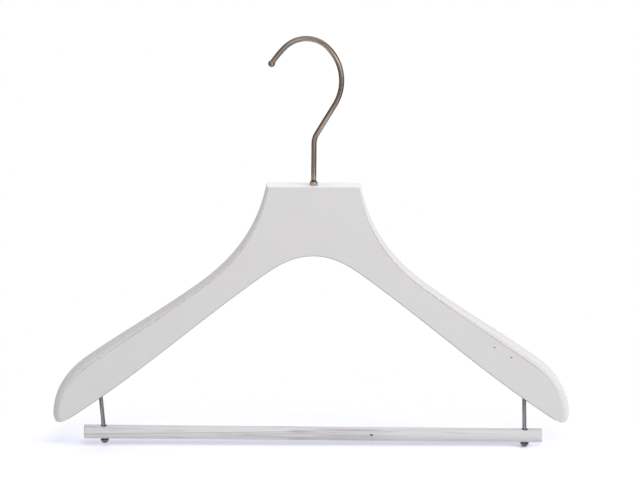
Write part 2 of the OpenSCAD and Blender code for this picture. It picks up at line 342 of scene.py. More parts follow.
@dataclass(frozen=True)
class PaintFinish:
    """Satin paint brushed thinly on wood, with the grain showing through."""

    name: str = "satin_paint"
    colour: tuple = (0.618, 0.607, 0.612)
    # Lighter tone for random mottling, and the painted highlight beside the groove on the bar
    light: tuple = (0.75, 0.745, 0.748)
    dark: tuple = (0.46, 0.437, 0.43)
    # A darker, bluer copy of the same paint for the bar: painted shade and a painted bluish cast
    dowel: tuple = (0.575, 0.555, 0.595)
    # Dark of the real grain veins, and the painted shade in the groove on the bar
    vein_and_groove_shade: tuple = (0.36, 0.335, 0.34)
    # Painted highlight on the flat neck top, lighter than the paint for the light it catches
    crest: tuple = (0.84, 0.84, 0.85)
    arris_dark: tuple = (0.30, 0.255, 0.225)
    # Painted shade on the lower rounded edges, which face down away from the light
    underside_shade: tuple = (0.26, 0.24, 0.235)
    roughness: float = 0.45
    unevenness: float = 0.16
    mottling: float = 0.30
    grain: float = 0.34
    arris: float = 1.1
    veins: float = 0.6
    dowel_shade_share: float = 0.45
    relief: float = 0.00009
    relief_strength: float = 0.8
    ior: float = 1.46

    def material(self) -> Material:
        """Makes the material.

        Returns:
            The finished material.
        """
        material, g = new_material(self.name)
        place = g.place()
        along, across = g.attribute("along"), g.attribute("across")
        cloud = g.noise(place, 0.028, 3.0)
        grain = g.noise(g.xyz(along * 0.016, across * 0.8, 0.0), 1.0, 4.0, 0.6)
        fibre = g.noise(g.xyz(along * 0.045, across * 2.6, 3.0), 1.0, 2.0)
        rough = g.noise(place, 0.75, 3.0, 0.65)
        shade = (cloud * self.mottling + grain * self.grain + fibre * 0.12).clamped()
        shine = (0.0 - cloud * self.mottling - grain * self.grain).clamped()
        band = g.attribute("band")
        speckle = (rough.ramp(-0.05, 0.25) * band * 0.55).clamped()
        # The long streak on the bar is a groove: a dark line of painted shade with a painted highlight along
        # each side
        lines = (g.attribute("streak") + fibre * 0.5).bell(0.55)
        groove_highlight = (g.attribute("streak") - 0.9 + fibre * 0.5).bell(0.9)
        gaps = (g.noise(place, 0.4, 4.0, 0.75) + 0.5).ramp(0.31, 0.62)
        edge = (g.attribute("arris") + g.noise(place, 0.22, 4.0, 0.7) * 1.9).bell(0.55)
        vein = g.noise(g.xyz(along * 0.0045, across * 0.16, 7.0), 1.0, 2.0, 0.4).bell(0.035)
        vein = vein * (g.noise(g.xyz(along * 0.02, across * 0.1, 1.0), 1.0) + 0.6).ramp(0.35, 0.75)
        lines = lines * 0.75 + vein * g.attribute("veined") * self.veins
        wear = edge * gaps * g.attribute("worn") * self.arris
        coats = (
            ((shade * 0.9).clamped(), self.dark),
            # Lighter mottling, and the painted highlight beside the groove
            ((shine * 0.55 + groove_highlight * 0.35).clamped(), self.light),
            (speckle, self.dark),
            # The bar gets the shaded copy of the paint
            (g.attribute("veined") * self.dowel_shade_share, self.dowel),
            # Grain veins, and the painted shade in the groove
            ((lines * 1.1).clamped(), self.vein_and_groove_shade),
            (wear.clamped(), self.arris_dark),
            # Painted shade along the lower rounded edges
            (g.attribute("under"), self.underside_shade),
            # Painted highlight laid over the flat neck top
            (g.attribute("crest"), self.crest),
        )
        height = grain * 0.6 + fibre * 0.5 + rough * (0.3 + band * 0.9) - lines * 1.1 - wear * 1.4
        inputs = {
            "Base Color": g.layered(self.colour, coats),
            "Roughness": (self.roughness + g.noise(place, 0.2) * self.unevenness).clamped(),
            "Normal": g.bump(height, self.relief, self.relief_strength),
            "IOR": self.ior,
        }
        surface(g, inputs)
        return material


@dataclass(frozen=True)
class MetalFinish:
    """Antiqued metal, with dark patina in patches and fine drawing lines."""

    name: str
    colour: tuple
    patina: tuple
    bright: tuple
    roughness: float = 0.20
    patch_scale: float = 0.5
    patch_share: float = 0.4
    # Painted shade: a near-black ring on the wire just above the collar, where the wire goes into it
    collar_shade: tuple = (0.012, 0.01, 0.01)
    collar_shade_at: float = -100.0
    collar_shade_width: float = 1.4
    pits: float = 0.000004

    def material(self) -> Material:
        """Makes the material.

        Returns:
            The finished material.
        """
        material, g = new_material(self.name)
        place = g.place()
        along, across = g.attribute("along"), g.attribute("across")
        patches = g.noise(place, self.patch_scale, 5.0, 0.65).ramp(-0.05, 0.25)
        fine = g.noise(place, 1.3, 3.0, 0.6)
        drawn = g.noise(g.xyz(along * 0.03, across * 0.6, 0.0), 1.0, 2.0)
        # Ring of painted shade where the wire enters the collar
        collar_shade_ring = (along - self.collar_shade_at).bell(self.collar_shade_width)
        share = (patches * self.patch_share + fine * 0.10 + drawn * 3.2).clamped()
        rubbed = (0.0 - drawn * 4.0 - fine * 0.1).clamped()
        coats = ((share, self.patina), (rubbed, self.bright), (collar_shade_ring.clamped(), self.collar_shade))
        inputs = {
            "Base Color": g.layered(self.colour, coats),
            "Metallic": 1.0,
            "Roughness": (self.roughness + share * 0.14 + fine * 0.1).clamped(),
            "Normal": g.bump(fine * 0.3 + drawn, self.pits),
        }
        surface(g, inputs)
        return material


@dataclass(frozen=True)
class SpeckFinish:
    """Grit caught in the paint and painted over."""

    name: str = "painted_grit"
    colour: tuple = (0.014, 0.013, 0.014)
    coated: tuple = (0.06, 0.055, 0.05)
    roughness: float = 0.6

    def material(self) -> Material:
        """Makes the material.

        Returns:
            The finished material.
        """
        material, g = new_material(self.name)
        share = (g.noise(g.place(), 2.0) + 0.5).clamped()
        surface(g, {"Base Color": g.mix(share, self.colour, self.coated), "Roughness": self.roughness})
        return material


def finished(name: str, mesh: Mesh, material: Material) -> Object:
    """Links a mesh at the origin with its material.

    Args:
        name: the piece's name.
        mesh: its mesh, in the row frame.
        material: its finish.

    Returns:
        The object.
    """
    mesh.name = name
    mesh.materials.clear()
    mesh.materials.append(material)
    obj = bpy.data.objects.new(name, mesh)
    bpy.context.scene.collection.objects.link(obj)
    return obj


def mesh_from(bm: BMesh, name: str) -> Mesh:
    """Merges doubles, turns normals outward and smooths.

    Args:
        bm: the geometry, freed here.
        name: the mesh's name.

    Returns:
        The mesh.
    """
    bmesh.ops.remove_doubles(bm, verts=bm.verts, dist=MERGE)
    bmesh.ops.recalc_face_normals(bm, faces=bm.faces)
    mesh = bpy.data.meshes.new(name)
    bm.to_mesh(mesh)
    bm.free()
    mesh.shade_smooth()
    return mesh


def lathe(profile: Sequence[tuple], place: Callable, steps: int = 64) -> BMesh:
    """Turns a profile about its axis, with a closed pole where the radius is 0.

    Args:
        profile: (radius, height) points, in millimetres.
        place: turns a point of the turned piece into the row frame.
        steps: segments round the axis.

    Returns:
        The geometry, with along and across attributes.
    """
    bm = bmesh.new()
    along, across = (bm.verts.layers.float.new(n) for n in ("along", "across"))
    rings = []
    for radius, height in profile:
        ring = []
        for k in range(1 if radius == 0 else steps):
            c, s = heading(360 * k / steps)
            vert = bm.verts.new(place(radius * c, radius * s, height))
            vert[along] = height
            vert[across] = radius * math.sin(math.pi * k / steps) * 2
            ring.append(vert)
        rings.append(ring)
    for low, high in zip(rings, rings[1:]):
        for k in range(steps):
            j = k + 1
            corners = [low[k % len(low)], low[j % len(low)], high[j % len(high)], high[k % len(high)]]
            corners = list(dict.fromkeys(corners))
            if len(corners) > 2:
                bm.faces.new(corners)
    return bm


def turned(name: str, finish: Material, profile: Sequence[tuple], place: Callable, steps: int) -> Object:
    """A turned piece.

    Args:
        name: the piece's name.
        finish: its material.
        profile: (radius, height) points, in millimetres.
        place: turns a point of the piece into the row frame.
        steps: segments round the axis.

    Returns:
        The object.
    """
    return finished(name, mesh_from(lathe(profile, place, steps), name), finish)


def tilted(start: Pair, angle: float) -> Callable[[float, float, float], Vector]:
    """Gives the place function of a piece on a sloping axis in the plane of the body.

    Args:
        start: where the axis starts.
        angle: its heading in degrees.

    Returns:
        A function of u across, v to the back and w along the axis.
    """
    c, s = heading(angle)
    return lambda u, v, w: to_row(start[0] + c * w - s * u, v, start[1] + s * w + c * u)


def arc(cx: float, cy: float, r: float, start: float, end: float, steps: int) -> list[Pair]:
    """Points of an arc.

    Args:
        cx: centre's first coordinate.
        cy: centre's second coordinate.
        r: radius.
        start: first angle in degrees.
        end: last angle in degrees.
        steps: segments.

    Returns:
        The points, both ends included.
    """
    angles = (start + (end - start) * i / steps for i in range(steps + 1))
    return [(cx + r * heading(a)[0], cy + r * heading(a)[1]) for a in angles]


@dataclass(frozen=True)
class Knot:
    """A point of an outline, with its heading and the inset of the flat face."""

    x: float
    z: float
    angle: float
    inset: Pair

    def at(self, flat: bool) -> Pair:
        """The knot on the outline, or where the flat face ends."""
        return (self.x + self.inset[0], self.z + self.inset[1]) if flat else (self.x, self.z)


@dataclass
class Outline:
    """The body's outline on the right half, walked away from the tip's lowest point."""

    neck_half_w: float = 40.2
    neck_angle: float = 80.0
    neck_h: float = 61.5
    neck_round: float = 2.0
    sweep_x: float = 96.0
    sweep_drop: float = 87.8
    sweep_slope: float = 37.2
    sweep_round: float = 2.4
    arm_slope: float = 34.2
    shoulder_back: float = 29.7
    shoulder_slope: float = 35.9
    shoulder_round: float = 5.5
    tip_x: float = 225.0
    tip_fall: float = 51.7
    tip_round: float = 6.0
    foot_x: float = 221.7
    foot_fall: float = 6.5
    foot_inset: tuple = (-5.0, 2.0)
    heel_back: float = 15.0
    heel_rise: float = 4.7
    heel_slope: float = 34.0
    arch_x: float = 49.2
    arch_drop: float = 22.3
    arch_slope: float = 37.1
    under_round: float = 0.8
    strip: float = 5.0
    corner_pull: float = 0.25
    sweep_pull: float = 0.36

    def __post_init__(self) -> None:
        """Sets the knots as the CAD body has them."""
        shoulder_x = self.tip_x - self.shoulder_back
        run = shoulder_x - self.sweep_x
        shoulder_z = -self.sweep_drop - run * math.tan(math.radians(self.arm_slope))
        tip_z = shoulder_z - self.tip_fall
        foot_z = tip_z - self.foot_fall

        def knot(x: float, z: float, angle: float, across: float) -> Knot:
            """A knot whose flat face ends a distance to the left of its heading."""
            c, s = heading(angle)
            return Knot(x, z, angle, (-s * across, c * across))

        self.upper = [
            Knot(self.foot_x, foot_z, 0.0, self.foot_inset),
            knot(self.tip_x, tip_z, 90.0, self.tip_round),
            knot(shoulder_x, shoulder_z, 180 - self.shoulder_slope, self.shoulder_round),
            knot(self.sweep_x, -self.sweep_drop, 180 - self.sweep_slope, self.sweep_round),
            knot(self.neck_half_w, 0.0, 180 - self.neck_angle, self.neck_round),
        ]
        eased = -self.under_round
        self.lower = [
            Knot(self.foot_x, foot_z, 180.0, self.foot_inset),
            knot(self.tip_x - self.heel_back, foot_z + self.heel_rise, 180 - self.heel_slope, eased),
            knot(self.arch_x, -self.neck_h - self.arch_drop, 180 - self.arch_slope, eased),
            knot(0.0, -self.neck_h, 180.0, eased),
        ]

    def walk(self, knots: Sequence[Knot], place: float, flat: bool, first_pull: float) -> Pair:
        """A point at a place counted in curves.

        Args:
            knots: the outline's knots.
            place: 1.5 is half way along the second curve.
            flat: whether to walk where the flat face ends.
            first_pull: handle share of the first curve.

        Returns:
            The point in millimetres.
        """
        i = min(int(place), len(knots) - 2)
        t = place - i
        a, b = knots[i].at(flat), knots[i + 1].at(flat)
        reach = math.dist(a, b) * (first_pull if i == 0 else self.sweep_pull)
        ha, hb = heading(knots[i].angle), heading(knots[i + 1].angle)
        weights = ((1 - t) ** 3, 3 * t * (1 - t) ** 2, 3 * t * t * (1 - t), t**3)
        leave = (a[0] + ha[0] * reach, a[1] + ha[1] * reach)
        arrive = (b[0] - hb[0] * reach, b[1] - hb[1] * reach)
        points = (a, leave, arrive, b)
        return tuple(sum(w * p[k] for w, p in zip(weights, points)) for k in (0, 1))


@dataclass
class WoodenBody:
    """Both glued arms under one unbroken coat of paint."""

    finish: Material
    outline: Outline = field(default_factory=Outline)
    thickness: float = 16.0
    edge_band: float = 0.4
    round_steps: int = 10
    under_steps: int = 4
    curve_steps: tuple = (16, 40, 26, 40)
    top_steps: int = 12
    bore: float = 3.07
    bore_depth: float = 24.0
    bore_sides: int = 48
    facing: tuple = (0.0, 0.7, 1.15, 1.85, 2.5)
    short_of_top: float = 0.03
    face_offsets: tuple = (0.4, 0.9, 1.5, 2.4, 4.0, 7.0, 12.0, 18.0, 26.0, 36.0, 50.0)
    top_bevel: float = 0.3
    # Depth below the neck top that the painted highlight covers
    top_highlight_band: float = 0.02
    grain_shift: float = 7.0
    back_shift: float = 40.0
    under_shift: float = 20.0

    def stations(self) -> list[int]:
        """The stations of the upper outline's knots, from the foot."""
        return [sum(self.curve_steps[:i]) for i in range(len(self.curve_steps) + 1)]

    def place_tables(self) -> tuple[list[Pair], list[Pair], int, int]:
        """Tables from station to place on the upper and the lower outline.

        Returns:
            Both tables, the last station on the neck's side and the last of all.
        """
        knots = self.stations()
        side, last = knots[-1], knots[-1] + self.top_steps
        upper = [(float(n), float(i)) for i, n in enumerate(knots)]
        upper[-1] = (float(side), len(self.curve_steps) - self.short_of_top)
        lower = [(float(n), p) for n, p in zip(knots, self.facing)] + [(float(last), 3.0)]
        return upper, lower, side, last

    def edge(self, flat: Pair, rim: Pair, steps: int) -> list[tuple]:
        """Section of a front rounded edge.

        Args:
            flat: where the flat face ends.
            rim: the outline.
            steps: segments.

        Returns:
            (x, depth from the front face, z, distance over the rounding) points.
        """
        size = math.dist(flat, rim)
        depth = min(size, self.thickness / 2 - self.edge_band)
        points = []
        for k in range(steps + 1):
            c, s = heading(90 * k / steps)
            over = size * math.pi / 2 * k / steps
            x, z = (a + (b - a) * s for a, b in zip(flat, rim))
            points.append((x, depth * (1 - c), z, over))
        return points

    def ring(self, n: int, tables: tuple) -> list[tuple]:
        """One closed ring round the arm.

        Args:
            n: the station.
            tables: what place_tables gives.

        Returns:
            (x, y, z, arris, across) points.
        """
        upper, lower, side, last = tables
        o = self.outline
        strip_x = o.neck_half_w - o.strip / math.tan(math.radians(o.neck_angle))
        if n > side:
            share = (last - n) / (self.top_steps - 1)
            rim = (strip_x * share, o.strip)
            flat = ((strip_x - o.neck_round) * share, o.strip - o.neck_round)
        else:
            rim, flat = (o.walk(o.upper, lookup(n, upper), f, o.corner_pull) for f in (False, True))
        low_rim, low_flat = (o.walk(o.lower, lookup(n, lower), f, o.sweep_pull) for f in (False, True))
        span = max(math.dist(flat, low_flat), 1e-6)
        count = len(self.face_offsets) + 1
        shares = [min(d / span, (k + 1) / count) for k, d in enumerate(self.face_offsets)]
        half = self.thickness / 2
        face = [(*(a + (b - a) * s for a, b in zip(flat, low_flat)), -s * span) for s in shares]
        top = self.edge(flat, rim, self.round_steps)
        under = self.edge(low_flat, low_rim, self.under_steps)
        front = [(x, -half, z, d, d) for x, z, d in reversed(face)]
        front += [(x, y - half, z, over, over) for x, y, z, over in top]
        back = [(x, -y, z, d, a + self.back_shift) for x, y, z, d, a in reversed(front)]
        low_back = [(x, half - y, z, -span, -span - over) for x, y, z, over in under]
        low_front = [(x, -y, z, d, a - self.under_shift) for x, y, z, d, a in reversed(low_back)]
        return front + back + low_back + low_front

    def build(self) -> Object:
        """The painted body as one skin.

        Returns:
            The object, riding on the hanger's body in place of both arms.
        """
        tables = self.place_tables()
        last = tables[3]
        bm = bmesh.new()
        layers = {n: bm.verts.layers.float.new(n) for n in PAINT_LAYERS}
        rings = []
        travelled, previous = 0.0, None
        half_rings = []
        for n in range(last + 1):
            ring = self.ring(n, tables)
            middle = (ring[0][0], ring[0][2])
            travelled += math.dist(middle, previous) if previous else 0.0
            previous = middle
            half_rings.append((n, ring, travelled))
        walks = [(n, ring, t, -1) for n, ring, t in half_rings] + [
            (n, ring, t, 1) for n, ring, t in reversed(half_rings[:-1])
        ]
        foot, tip, shoulder, sweep, corner = self.stations()
        worn = [(foot, 0.0), (tip + 8, 0.0), (shoulder - 6, 0.8)]
        worn += [(sweep, 0.8), (corner - 6, 0.6), (corner, 0.3)]
        # The underside's points follow those of the front and the back in each ring
        first_under = 2 * (len(self.face_offsets) + self.round_steps + 1)
        under = range(first_under + 1, first_under + 2 * self.under_steps + 1)
        for n, ring, run, side in walks:
            verts = []
            for k, (x, y, z, arris, across) in enumerate(ring):
                vert = bm.verts.new(to_row(side * x, y, z))
                vert[layers["along"]] = run * side
                vert[layers["across"]] = across + side * self.grain_shift
                vert[layers["arris"]] = arris
                vert[layers["worn"]] = lookup(n, worn)
                vert[layers["streak"]] = FAR
                vert[layers["band"]] = float(arris > 0.3)
                # Marks the lower rounding, which gets painted shade
                vert[layers["under"]] = float(k in under)
                vert[layers["veined"]] = 0.0
                verts.append(vert)
            rings.append(verts)
        size = len(rings[0])
        for a, b in zip(rings, rings[1:]):
            for k in range(size):
                bm.faces.new((a[k], a[(k + 1) % size], b[(k + 1) % size], b[k]))
        bmesh.ops.remove_doubles(bm, verts=bm.verts, dist=MERGE)
        self.cut_top(bm)
        self.drill(bm, list(layers.values()))
        for vert in bm.verts:
            # The flat neck top is marked for its painted highlight
            vert[layers["crest"]] = float(vert.co.z > to_row(0, 0, -self.top_highlight_band).z)
        mesh = mesh_from(bm, "painted_body")
        obj = finished("painted_body", mesh, self.finish)
        weigh = obj.modifiers.new("weigh", "WEIGHTED_NORMAL")
        weigh.keep_sharp = True
        obj = baked(obj)
        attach(obj, Body.HANGER.value)
        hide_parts("left_arm", "right_arm")
        return obj

    def cut_top(self, bm: BMesh) -> None:
        """Cuts the neck flat at its top and eases the new edge.

        Args:
            bm: the body's geometry.
        """
        geometry = bm.verts[:] + bm.edges[:] + bm.faces[:]
        top = to_row(0, 0, 0)
        cut = bmesh.ops.bisect_plane(bm, geom=geometry, plane_co=top, plane_no=(0, 0, 1), clear_outer=True)
        rim = [e for e in cut["geom_cut"] if isinstance(e, BMEdge)]
        cap = bmesh.ops.contextual_create(bm, geom=rim)["faces"]
        bmesh.ops.recalc_face_normals(bm, faces=bm.faces)
        rim = [e for f in cap for e in f.edges]
        ease = {"offset": self.top_bevel * MM, "segments": 3, "profile": 0.5}
        bmesh.ops.bevel(bm, geom=rim, affect="EDGES", clamp_overlap=True, **ease)

    def drill(self, bm: BMesh, layers: list) -> None:
        """Opens the bore in the neck top that the sleeve and the hook's shank sit in.

        Args:
            bm: the body's geometry, with its flat top.
            layers: the vertex layers that the new vertices get the top's mean values of.
        """
        cap = max((f for f in bm.faces if f.normal.z > 0.99), key=lambda f: f.calc_area())
        outline = list(cap.verts)
        right, left = (outline.index(end(outline, key=lambda v: v.co.x)) for end in (max, min))
        means = {layer: sum(v[layer] for v in cap.verts) / len(cap.verts) for layer in layers}
        bmesh.ops.delete(bm, geom=[cap], context="FACES_ONLY")
        rings = []
        for depth in (0.0, self.bore_depth):
            ring = []
            for k in range(self.bore_sides):
                c, s = heading(360 * k / self.bore_sides)
                vert = bm.verts.new(to_row(self.bore * c, self.bore * s, -depth))
                for layer, value in means.items():
                    vert[layer] = value
                ring.append(vert)
            rings.append(ring)
        upper, lower = rings
        for k, vert in enumerate(upper):
            bm.faces.new((upper[k - 1], vert, lower[k], lower[k - 1]))
        bm.faces.new(lower)
        # The top is two faces, one in front of the bore and one behind it
        half = self.bore_sides // 2
        round_hole = upper[:1] + upper[:0:-1]
        halves = ((left, right, round_hole[: half + 1]), (right, left, round_hole[half:] + round_hole[:1]))
        for start, stop, hole in halves:
            count = (stop - start) % len(outline) + 1
            chain = [outline[(start + k) % len(outline)] for k in range(count)]
            bm.faces.new(chain + hole)
        bmesh.ops.recalc_face_normals(bm, faces=bm.faces)


def baked(obj: Object) -> Object:
    """The object with its modifiers made into plain mesh.

    Args:
        obj: an object with live modifiers.

    Returns:
        The same object with a plain mesh and no modifiers.
    """
    graph = bpy.context.evaluated_depsgraph_get()
    live = obj.evaluated_get(graph)
    mesh = bpy.data.meshes.new_from_object(live, preserve_all_data_layers=True, depsgraph=graph)
    obj.modifiers.clear()
    if obj.type == "MESH":
        obj.data = mesh
        mesh.name = obj.name
        return obj
    name, material = obj.name, obj.data.materials[0]
    bpy.data.objects.remove(obj)
    return finished(name, mesh, material)


@dataclass
class HookCurve:
    """Centre line of the bent wire, in millimetres from the middle of the neck top."""

    shank_rise: float = 36.6
    first_r: float = 16.0
    lean: float = 30.5
    run: float = 29.5
    back_r: float = 41.0
    back_sweep: float = 76.0
    crown_r: float = 25.4
    crown_sweep: float = 90.5
    end_r: float = 85.0
    end_sweep: float = 10.5

    def points(self, bottom: float, pitch: float = 0.8) -> tuple[list[Pair], float]:
        """Walks the curve from below the neck top to the ball's seat.

        Args:
            bottom: height at which it starts.
            pitch: spacing of the points on the bends.

        Returns:
            The points and the last heading in degrees.
        """
        at = (0.0, bottom)
        angle = 90.0
        points = [at]

        def straight(length: float) -> None:
            """Adds a straight run.

            Args:
                length: how long it is.
            """
            nonlocal at
            count = max(2, int(length / (pitch * 3)))
            c, s = heading(angle)
            for i in range(1, count + 1):
                points.append((at[0] + c * length * i / count, at[1] + s * length * i / count))
            at = points[-1]

        def bend(radius: float, sweep: float) -> None:
            """Adds a bend.

            Args:
                radius: of its centre line.
                sweep: degrees turned, to the left where positive.
            """
            nonlocal at, angle
            turn = math.copysign(1, sweep)
            c, s = heading(angle + 90 * turn)
            centre = (at[0] + c * radius, at[1] + s * radius)
            start = angle - 90 * turn
            count = max(6, int(math.radians(abs(sweep)) * radius / pitch))
            points.extend(arc(*centre, radius, start, start + sweep, count)[1:])
            at, angle = points[-1], angle + sweep

        straight(self.shank_rise - bottom)
        bend(self.first_r, -self.lean)
        straight(self.run)
        bend(self.back_r, self.back_sweep)
        bend(self.crown_r, self.crown_sweep)
        bend(self.end_r, self.end_sweep)
        return points, angle


def object_group(name: str, inputs: dict[str, str]) -> tuple[Graph, Node]:
    """A geometry node group that takes and gives geometry.

    Args:
        name: the group's name.
        inputs: its other inputs by name, each with its socket type.

    Returns:
        The group's graph and its input node.
    """
    tree = bpy.data.node_groups.new(name, "GeometryNodeTree")
    tree.interface.new_socket("Geometry", in_out="INPUT", socket_type="NodeSocketGeometry")
    for label, kind in {**inputs, "Finish": "NodeSocketMaterial"}.items():
        tree.interface.new_socket(label, in_out="INPUT", socket_type=kind)
    tree.interface.new_socket("Geometry", in_out="OUTPUT", socket_type="NodeSocketGeometry")
    g = Graph(tree)
    return g, g.node("NodeGroupInput")


def coat(g: Graph, geometry: NodeSocket, finish: NodeSocket) -> NodeTree:
    """Ends a group in real geometry with a material.

    Args:
        g: the group's graph.
        geometry: what it has made.
        finish: the material's socket.

    Returns:
        The finished group.
    """
    real = g.node("GeometryNodeRealizeInstances", None, {"Geometry": geometry})
    coated = g.node("GeometryNodeSetMaterial", None, {"Geometry": real.outputs[0], "Material": finish})
    g.node("NodeGroupOutput", None, {"Geometry": coated.outputs[0]})
    return g.tree


def stored(g: Graph, geometry: NodeSocket, name: str, value: Sock) -> NodeSocket:
    """Stores a float on each point of some geometry.

    Args:
        g: the group's graph.
        geometry: what it is stored on.
        name: the attribute.
        value: its value.

    Returns:
        The geometry with the attribute.
    """
    settings = {"data_type": "FLOAT", "domain": "POINT"}
    inputs = {"Geometry": geometry, "Name": name, "Value": value}
    return g.node("GeometryNodeStoreNamedAttribute", settings, inputs).outputs["Geometry"]


def sweep_group() -> NodeTree:
    """Geometry nodes that run a round section along a curve and keep its two coordinates.

    Returns:
        The node group, with the radius, sides and material as named inputs.
    """
    g, source = object_group("round_sweep", {"Wire Radius": "NodeSocketFloat", "Sides": "NodeSocketInt"})
    given = source.outputs
    length = g.sock(g.node("GeometryNodeSplineParameter"), "Length")
    path = stored(g, given["Geometry"], "along", length * (1 / MM))
    size = {"Resolution": given["Sides"], "Radius": given["Wire Radius"]}
    circle = g.node("GeometryNodeCurvePrimitiveCircle", None, size)
    turn = g.sock(g.node("GeometryNodeSplineParameter"), "Factor") * math.pi
    wave = g.sock(g.node("ShaderNodeMath", {"operation": "SINE"}, {0: turn}))
    section = stored(g, circle.outputs[0], "across", wave * FAR)
    ends = {"Curve": path, "Profile Curve": section, "Fill Caps": True}
    tube = g.node("GeometryNodeCurveToMesh", None, ends)
    return coat(g, tube.outputs[0], given["Finish"])


def grown(obj: Object, group: NodeTree, values: dict) -> Object:
    """Runs a node group on an object and keeps the result.

    Args:
        obj: the object it starts from.
        group: the geometry node group.
        values: what to give the group's inputs, by name.

    Returns:
        The object with plain mesh.
    """
    modifier = obj.modifiers.new(group.name, "NODES")
    modifier.node_group = group
    for item in group.interface.items_tree:
        if item.item_type == "SOCKET" and item.in_out == "INPUT" and item.name in values:
            modifier[item.identifier] = values[item.name]
    bpy.context.view_layer.update()
    return baked(obj)


@dataclass
class HookWire:
    """The bent wire hook, from inside the neck to the ball."""

    finish: Material
    curve: HookCurve = field(default_factory=HookCurve)
    radius: float = 2.25
    bottom: float = -23.0
    sides: int = 40

    def build(self) -> Object:
        """The swept wire.

        Returns:
            The object, riding on the hook's body in place of the wire.
        """
        points, _ = self.curve.points(self.bottom)
        data = bpy.data.curves.new("hook_wire_skin", "CURVE")
        data.dimensions = "3D"
        spline = data.splines.new("POLY")
        spline.points.add(len(points) - 1)
        for point, (x, z) in zip(spline.points, points):
            point.co = (*to_row(x, 0, z), 1.0)
        data.materials.append(self.finish)
        obj = bpy.data.objects.new("hook_wire_skin", data)
        bpy.context.scene.collection.objects.link(obj)
        values = {"Wire Radius": self.radius * MM, "Sides": self.sides, "Finish": self.finish}
        obj = grown(obj, sweep_group(), values)
        bm = bmesh.new()
        bm.from_mesh(obj.data)
        bmesh.ops.remove_doubles(bm, verts=bm.verts, dist=MERGE)
        bmesh.ops.recalc_face_normals(bm, faces=bm.faces)
        bm.to_mesh(obj.data)
        bm.free()
        obj.data.shade_smooth()
        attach(obj, Body.HOOK.value)
        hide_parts("hook_wire")
        return obj


@dataclass
class TipBall:
    """The ball on the hook's end, with a crease where it meets the wire."""

    finish: Material
    curve: HookCurve = field(default_factory=HookCurve)
    radius: float = 3.0
    seat: float = 2.084

    def build(self) -> Object:
        """The turned ball.

        Returns:
            The object, riding on the hook's body in place of the ball.
        """
        points, angle = self.curve.points(0.0)
        flat_angle = math.degrees(math.asin(-self.seat / self.radius))
        profile = [(0.0, 0.25), (1.7, 0.25), (1.9, 0.12)]
        profile += [(r, h + self.seat) for r, h in arc(0, 0, self.radius, flat_angle, 90, 24)[:-1]]
        profile += [(0.0, self.seat + self.radius)]
        obj = turned("tip_ball_skin", self.finish, profile, tilted(points[-1], angle), 48)
        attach(obj, Body.HOOK.value)
        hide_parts("hook_tip_ball")
        return obj


@dataclass
class Ferrule:
    """The rounded collar at the hook's foot, with a groove under its rim."""

    finish: Material
    radius: float = 3.5
    height: float = 3.3
    rounding: float = 1.15
    bore: float = 2.31
    sleeve: float = 3.05
    sleeve_len: float = 20.0

    def build(self) -> Object:
        """The turned ferrule.

        Returns:
            The object, riding on the hanger's body in place of the ferrule.
        """
        r, h, e, b, foot = self.radius, self.height, self.rounding, self.bore, -self.sleeve_len
        profile = [(b, foot), (self.sleeve, foot), (self.sleeve, -0.05)]
        profile += [(r - 0.35, -0.05), (r - 0.1, 0.02), (r - 0.02, 0.2)]
        profile += arc(r - e, h - e, e, -8, 88, 12)
        profile += [(b + 0.22, h - 0.04), (b + 0.05, h - 0.12), (b, h - 0.3), (b, foot)]
        obj = turned("ferrule_skin", self.finish, profile, to_row, 64)
        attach(obj, Body.HANGER.value)
        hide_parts("hook_ferrule")
        return obj


@dataclass
class BarLayout:
    """Where the pins and the bar sit, worked out as the CAD part does."""

    pin_x: Pair = (-183.8, 185.7)
    leans: Pair = (4.5, 2.0)
    reaches: Pair = (40.3, 41.9)
    overhangs: Pair = (17.2, 15.2)
    bar_radius: float = 6.05
    head_radius: float = 3.8
    seat_gap: float = 0.15
    travel: float = 15.0

    def __post_init__(self) -> None:
        """Works out the pins' tops and the bar's start, tilt, holes, left end and length."""
        outline = Outline()
        places = (1 + i / 20 for i in range(21))
        underside = sorted(outline.walk(outline.lower, p, False, outline.sweep_pull) for p in places)
        self.tops = [(x, lookup(abs(x), underside)) for x in self.pin_x]
        heads = []
        for top, lean, reach in zip(self.tops, self.leans, self.reaches):
            c, s = heading(90 + lean)
            heads.append((top[0] - reach * c, top[1] - reach * s))
        run = (heads[1][0] - heads[0][0], heads[1][1] - heads[0][1])
        self.tilt = math.degrees(math.atan2(run[1], run[0]))
        tilts = [lean - self.tilt for lean in self.leans]
        rise = self.bar_radius + self.head_radius * math.sin(math.radians(max(tilts))) + self.seat_gap
        c, s = heading(90 + self.tilt)
        self.start = (heads[0][0] + rise * c, heads[0][1] + rise * s)
        mean = math.tan(math.radians(sum(self.leans) / 2))
        drift = [self.travel * (math.tan(math.radians(lean)) - mean) / 2 for lean in self.leans]
        left, right = (rise * math.tan(math.radians(tilt)) for tilt in tilts)
        self.holes = (-left - drift[0], math.hypot(*run) - right - drift[1])
        self.left_end = self.holes[0] - self.overhangs[0]
        self.length = self.holes[1] + self.overhangs[1] - self.left_end


